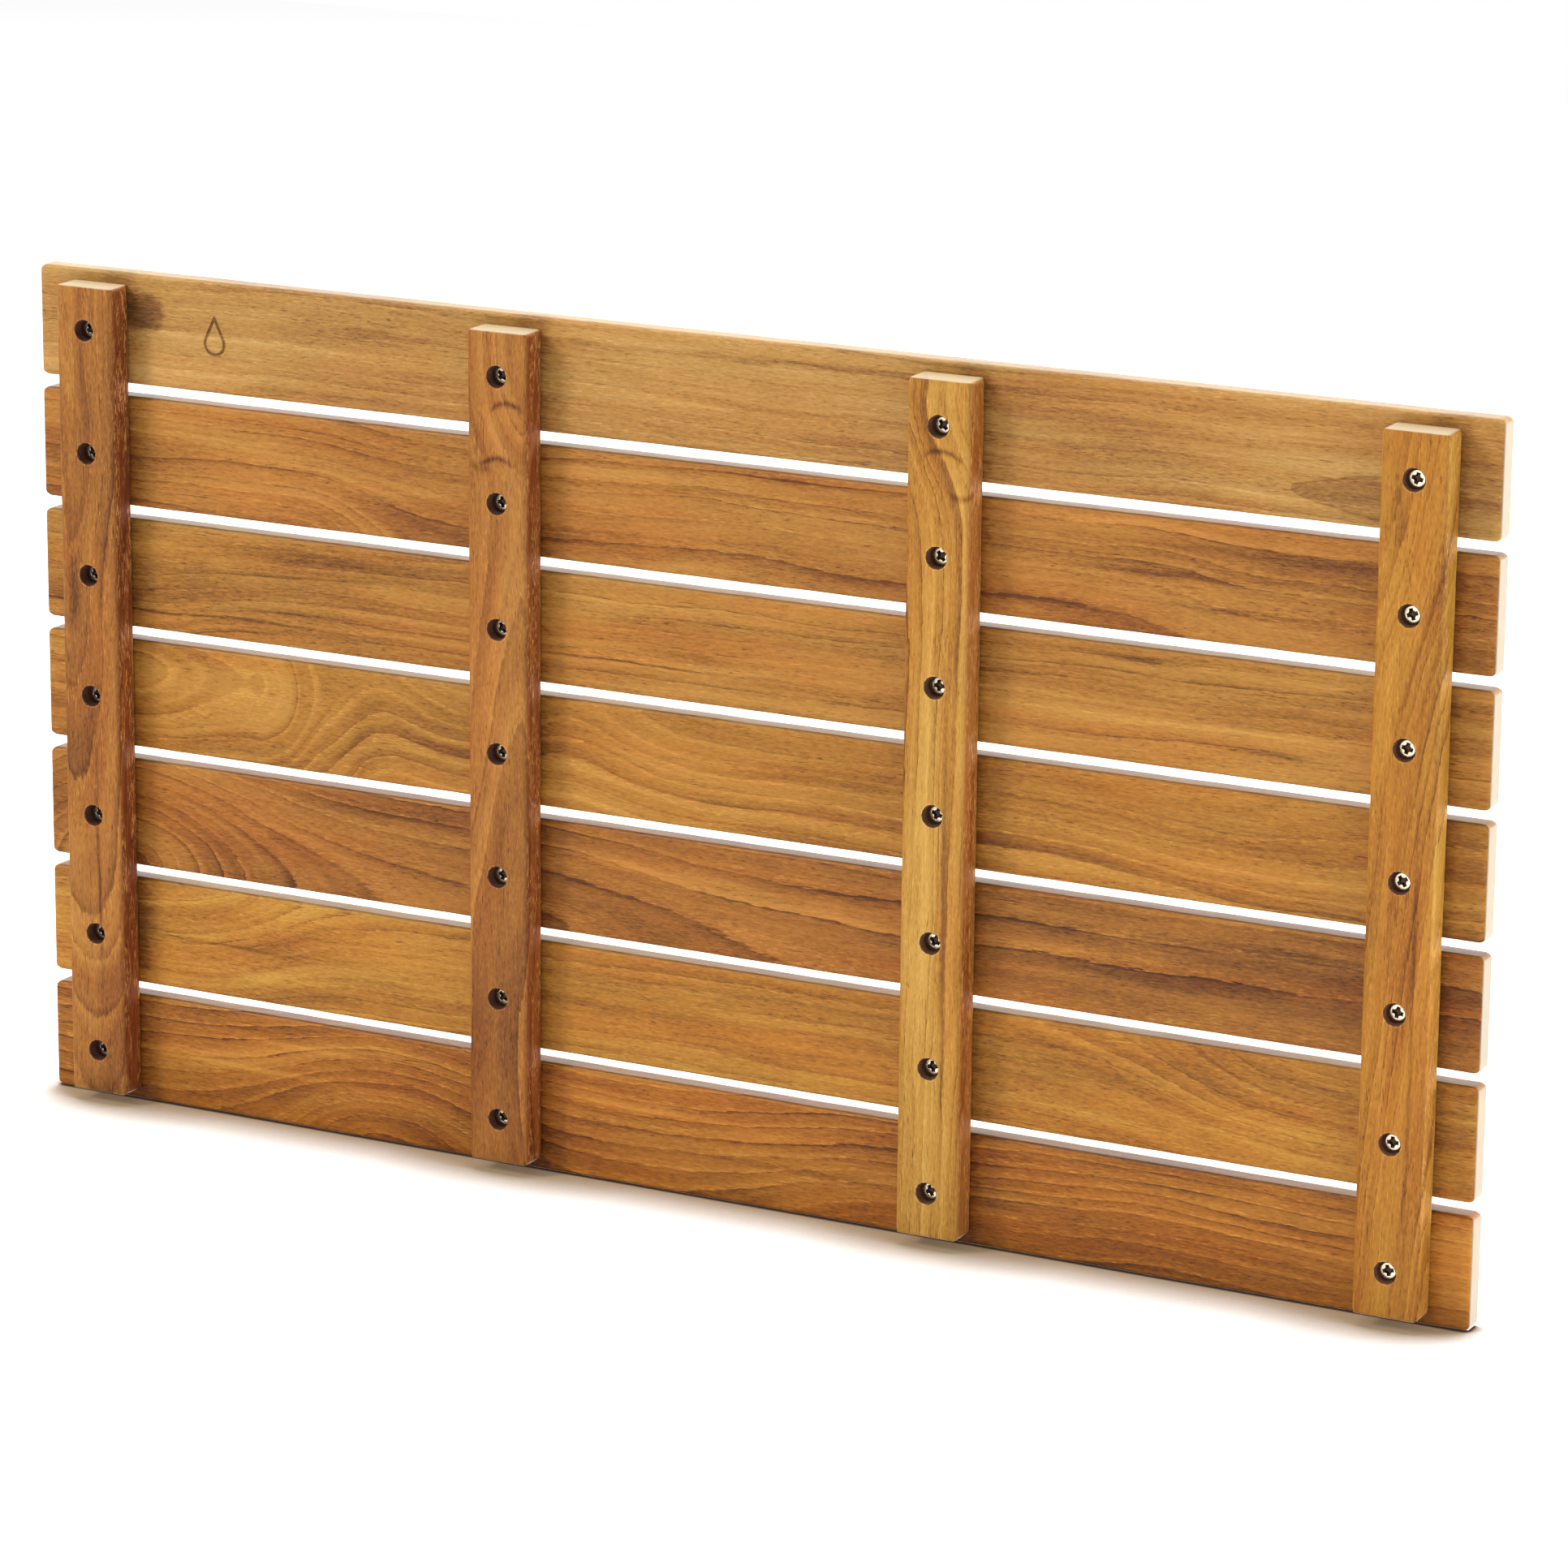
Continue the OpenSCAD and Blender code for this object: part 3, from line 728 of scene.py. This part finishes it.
def make_board(name, along, radii, holes, block_grid, step, seed, extra_blocks=((), ()), shape=None):
    """A board with rounded edges and screw holes, in the place of its CAD node."""
    low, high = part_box(name)
    low, high = Vector(low), Vector(high)
    centre, size = (low + high) / 2, high - low
    length, width = (size.x, size.y) if along == "X" else (size.y, size.x)
    half = (length / 2, width / 2, size.z / 2)
    edge_radius, end_radius, corner_radius = radii

    block, count = block_grid
    spots = [hole["spot"] - (centre.x if along == "X" else centre.y) for hole in holes]
    u_blocks = [(s - block / 2, s + block / 2, count) for s in spots] + list(extra_blocks[0])
    v_blocks = [(-block / 2, block / 2, count)] + list(extra_blocks[1])
    us = stops(half[0], corner_radius, u_blocks, step)
    vs = stops(half[1], edge_radius, v_blocks, 4.0 * MM)
    ws = stops(half[2], edge_radius, (), 2.5 * MM)

    shell = Shell()
    blocks = []
    for spot in spots:
        i0, i1 = find_block(us, spot, block, count)
        j0, j1 = find_block(vs, 0.0, block, count)
        blocks.append((i0, i1, j0, j1))
    through = holes[0]["tip"] is None
    at = box_grid(shell, (us, vs, ws), blocks, blocks if through else ())
    rims = [(block_rim(at, b, 0), block_rim(at, b, len(ws) - 1) if through else None) for b in blocks]

    points = np.array(shell.points)
    if shape:
        points = shape(points, half)
    round_pair(points, 1, 2, half[1], half[2], edge_radius)
    round_pair(points, 0, 2, half[0], half[2], end_radius)
    round_pair(points, 0, 1, half[0], half[1], corner_radius)
    # Hand-sanded edges wander a little
    for sign in (-1, 1):
        near = np.clip((sign * points[:, 1] - (half[1] - 3 * MM)) / (3 * MM), 0, 1)
        wobble = waves(points[:, 0], seed + sign, (0.31, 0.17, 0.083, 0.041), 0.22 * MM)
        points[:, 1] -= sign * near * (0.12 * MM + np.abs(wobble))
    shell.points = [tuple(p) for p in points]

    draw = random.Random(seed)
    for spot, hole, (rim_low, rim_high) in zip(spots, holes, rims):
        here = (spot, 0.0)
        flat = [Vector((shell.points[n][0] - spot, shell.points[n][1])).normalized() for n in rim_low]
        reach = [math.hypot(shell.points[n][0] - spot, shell.points[n][1]) for n in rim_low]
        ring = rim_low
        first_radius = hole["profile"][0][0]
        for t in (0.62, 0.28):
            between = [first_radius + (r - first_radius) * t for r in reach]
            nearer = shell.ring(flat, here, between, -half[2])
            shell.bridge(ring, nearer)
            ring = nearer
        for n, (radius, height) in enumerate(hole["profile"]):
            if through and n < 3:
                radius = [radius + draw.uniform(-0.12, 0.22) * MM for _ in flat]
            nearer = shell.ring(flat, here, radius, -half[2] + height)
            shell.bridge(ring, nearer, 1 if n > 0 else 0)
            ring = nearer
        if through:
            last = hole["profile"][-1][0]
            nearer = shell.ring(flat, here, last, half[2])
            shell.bridge(ring, nearer, 1)
            ring = nearer
            for t in (0.3, 0.65):
                between = [last + (r - last) * t for r in reach]
                nearer = shell.ring(flat, here, between, half[2])
                shell.bridge(ring, nearer)
                ring = nearer
            shell.bridge(ring, rim_high)
        else:
            shell.close(ring, (spot, 0.0, -half[2] + hole["tip"]), 1)

    mesh = bpy.data.meshes.new(name + "_board")
    if along == "X":
        placed = [(p[0] + centre.x, p[1] + centre.y, p[2] + centre.z) for p in shell.points]
        faces = shell.faces
    else:
        placed = [(p[1] + centre.x, p[0] + centre.y, p[2] + centre.z) for p in shell.points]
        faces = [f[::-1] for f in shell.faces]
    mesh.from_pydata(placed, [], faces)
    finish_mesh(mesh, shell.marks, 34)
    for shaded_bore in (False, True):
        mesh.materials.append(teak(name, centre, along, half, shaded_bore))
    board = bpy.data.objects.new(name + "_board", mesh)
    bpy.context.scene.collection.objects.link(board)
    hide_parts(name)
    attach(board, "root")


def finish_mesh(mesh, marks, angle):
    mesh.polygons.foreach_set("material_index", marks)
    mesh.polygons.foreach_set("use_smooth", [True] * len(mesh.polygons))
    mesh.validate()
    mesh.update()
    mesh.set_sharp_from_angle(angle=math.radians(angle))


# ---------------------------------------------------------------- pressed mark

def drop_distance(u, v):
    """Distance from the outline of a drop whose point is towards -v."""
    bowl = DROP_HEIGHT / 2 - DROP_RADIUS
    tip = -DROP_HEIGHT / 2
    rise = bowl - tip
    lean = math.asin(DROP_RADIUS / rise)
    side_u, side_v = math.cos(lean), -math.sin(lean)
    u = np.abs(u)
    along = u * math.sin(lean) + (v - tip) * math.cos(lean)
    straight = u * side_u + (v - tip) * side_v
    length = rise * math.cos(lean)
    round_part = np.hypot(u, v - bowl) - DROP_RADIUS
    point_part = np.hypot(u, v - tip)
    return np.where(along > length, round_part, np.where(along < 0, point_part, straight))


def press_drop(points, half):
    centre_u = -half[0] + DROP_FROM_END
    centre_v = -half[1] + DROP_FROM_EDGE
    away = np.abs(drop_distance(points[:, 0] - centre_u, points[:, 1] - centre_v))
    pressed = np.clip(1 - (away / (DROP_GROOVE / 2)) ** 2, 0, 1) ** 0.7
    under = points[:, 2] < -half[2] + 0.01 * MM
    points[:, 2] += np.where(under, pressed * DROP_DEPTH, 0)
    return points


# ---------------------------------------------------------------- boards and screws

HEAD_STAND = 1.0 * MM  # how far a screw's head stands above its counterbore's floor
SCREW_LENGTH = 18 * MM
SCREW_POINT = 3 * MM  # length of a screw's tapered tip
PILOT_RADIUS = 2.05 * MM  # blind hole in a slat
BORE_RADIUS = 5.0 * MM  # counterbore in a batten
# Radii of the long edges, the end edges and the corners
SLAT_RADII = (2.0 * MM, 1.4 * MM, 3.4 * MM)
BATTEN_RADII = (3.0 * MM, 0.9 * MM, 2.4 * MM)


def screw_spots(names, axis):
    """Middles of the named nodes along one axis."""
    return [(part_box(name)[0][axis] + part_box(name)[1][axis]) / 2 for name in names]


def slat_boards():
    """Slats with a blind pilot hole over each batten."""
    holes = []
    for spot, screw in zip(screw_spots(BATTENS, 0), SCREWS):
        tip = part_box(screw)[0][2] + SCREW_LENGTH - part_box(BATTENS[0])[1][2]
        profile = ((PILOT_RADIUS, 0.0), (PILOT_RADIUS, tip - SCREW_POINT))
        holes.append(dict(spot=spot, profile=profile, tip=tip + 0.05 * MM))
    for number, name in enumerate(SLATS):
        extra, shape = ((), ()), None
        if number == 0:
            low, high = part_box(name)
            mark_u = -(high[0] - low[0]) / 2 + DROP_FROM_END
            mark_v = -(high[1] - low[1]) / 2 + DROP_FROM_EDGE
            extra = ([(mark_u - DROP_BOX_U / 2, mark_u + DROP_BOX_U / 2, 60)],
                     [(mark_v - DROP_BOX_V / 2, mark_v + DROP_BOX_V / 2, 84)])
            shape = press_drop
        make_board(name, "X", SLAT_RADII, holes, (8 * MM, 6), 7 * MM, 11 + 3 * number, extra, shape)


def batten_boards():
    """Battens with counterbored holes, as deep in each batten as its screws sit."""
    bore = BORE_RADIUS
    for number, (name, screw) in enumerate(zip(BATTENS, SCREWS)):
        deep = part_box(screw)[0][2] + HEAD_STAND
        profile = ((bore + 0.45 * MM, 0.0), (bore + 0.15 * MM, 0.15 * MM), (bore, 0.5 * MM),
                   (bore, 0.4 * deep), (bore, 0.7 * deep), (bore, deep - 0.2 * MM),
                   (bore - 0.25 * MM, deep), (3.5 * MM, deep), (2.1 * MM, deep + 1.4 * MM))
        holes = [dict(spot=spot, profile=profile, tip=None) for spot in screw_spots(SLATS, 1)]
        make_board(name, "Y", BATTEN_RADII, holes, (16 * MM, 12), 5 * MM, 71 + 5 * number)


# Cross recess: half its span and half an arm's width, at the head's face and at the recess floor
RECESS_TOP, RECESS_FLOOR = (2.65 * MM, 0.90 * MM), (1.7 * MM, 0.55 * MM)
RECESS_PIT = 1.75 * MM  # radius of the pit where the arms cross
RECESS_DEPTH = 1.9 * MM


def cross_reach(angle, span, arm):
    """How far the outline of a cross with a round pit in its middle is from its centre."""
    c, s = abs(math.cos(angle)), abs(math.sin(angle))
    level = min(span / max(c, 1e-9), arm / max(s, 1e-9))
    upright = min(span / max(s, 1e-9), arm / max(c, 1e-9))
    return max(level, upright, RECESS_PIT * span / RECESS_TOP[0])


def screw_angles():
    tilt = math.atan2(RECESS_TOP[1], RECESS_TOP[0])
    quarter = [0, tilt, (tilt + math.pi / 4) / 2, math.pi / 4,
               math.pi / 2 - (tilt + math.pi / 4) / 2, math.pi / 2 - tilt]
    fine = []
    for turn in range(4):
        start = turn * math.pi / 2
        marks = [start + q for q in quarter] + [start + math.pi / 2]
        for first, second in zip(marks, marks[1:]):
            fine += [first, (first + second) / 2]
    return fine


def add_screw(shell, place, bottom, turn):
    """One screw, head down: rings from the recess's floor out over the head and up to the tip."""
    angles = screw_angles()
    flat = [(math.cos(a + turn), math.sin(a + turn)) for a in angles]
    floor = [cross_reach(a, *RECESS_FLOOR) for a in angles]
    mouth = [cross_reach(a, *RECESS_TOP) for a in angles]
    lip = [m + 0.14 * MM for m in mouth]
    # Each ring's radius, its height above the head's face, and 1 inside the recess, which gets the painted
    # shade
    outline = [(floor, RECESS_DEPTH, 1), (mouth, 0.10 * MM, 1), (lip, 0.0, 0),
               (3.5 * MM, 0.0, 0), (3.85 * MM, 0.07 * MM, 0), (4.06 * MM, 0.18 * MM, 0),
               (4.1 * MM, 0.32 * MM, 0), (4.06 * MM, 0.44 * MM, 0), (2.1 * MM, 2.4 * MM, 0),
               (2.0 * MM, 2.5 * MM, 0), (2.0 * MM, 9.6 * MM, 0)]
    for thread in range(4):
        start = 9.7 * MM + thread * 1.35 * MM
        outline += [(1.98 * MM, start, 0), (1.45 * MM, start + 0.45 * MM, 0),
                    (1.45 * MM, start + 0.85 * MM, 0)]
    outline += [(1.98 * MM, 15.1 * MM, 0), (0.3 * MM, 17.7 * MM, 0)]
    rings = [shell.ring(flat, place, radius, bottom + height) for radius, height, _ in outline]
    shell.close(rings[0][::-1], (place[0], place[1], bottom + RECESS_DEPTH + 0.25 * MM), 1)
    for first, second, (_, _, mark) in zip(rings, rings[1:], outline[1:]):
        shell.bridge(second, first, mark)
    shell.close(rings[-1], (place[0], place[1], bottom + SCREW_LENGTH), 0)


def screw_sets():
    bright = screw_metal("screw_steel", (0.95, 0.82, 0.60), 0.17)
    # Painted shade: a dark, dull copy of the steel for the cross recess
    shaded = screw_metal("screw_recess_shade", (0.11, 0.07, 0.05), 0.5)
    spots = screw_spots(SLATS, 1)
    draw = random.Random(5)
    for name in SCREWS:
        low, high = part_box(name)
        shell = Shell()
        for spot in spots:
            add_screw(shell, ((low[0] + high[0]) / 2, spot), low[2], draw.uniform(0, math.pi / 2))
        mesh = bpy.data.meshes.new(name + "_set")
        mesh.from_pydata(shell.points, [], shell.faces)
        finish_mesh(mesh, shell.marks, 32)
        mesh.materials.append(bright)
        mesh.materials.append(shaded)
        piece = bpy.data.objects.new(name + "_set", mesh)
        bpy.context.scene.collection.objects.link(piece)
        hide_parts(name)
        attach(piece, "root")


make_camera()
make_world()
make_stage()
area_light("overhead", (-0.3, -2.6, 0.7), 2.6, 96)
area_light("behind", (1.7, -0.2, 1.3), 1.2, 22)
area_light("key", (-2.1, -2.0, -2.1), 1.1, 86)
area_light("card", (0.95, -0.1, -0.3), 0.6, 2.3)
slat_boards()
batten_boards()
screw_sets()
bpy.context.scene.view_settings.view_transform = "Standard"
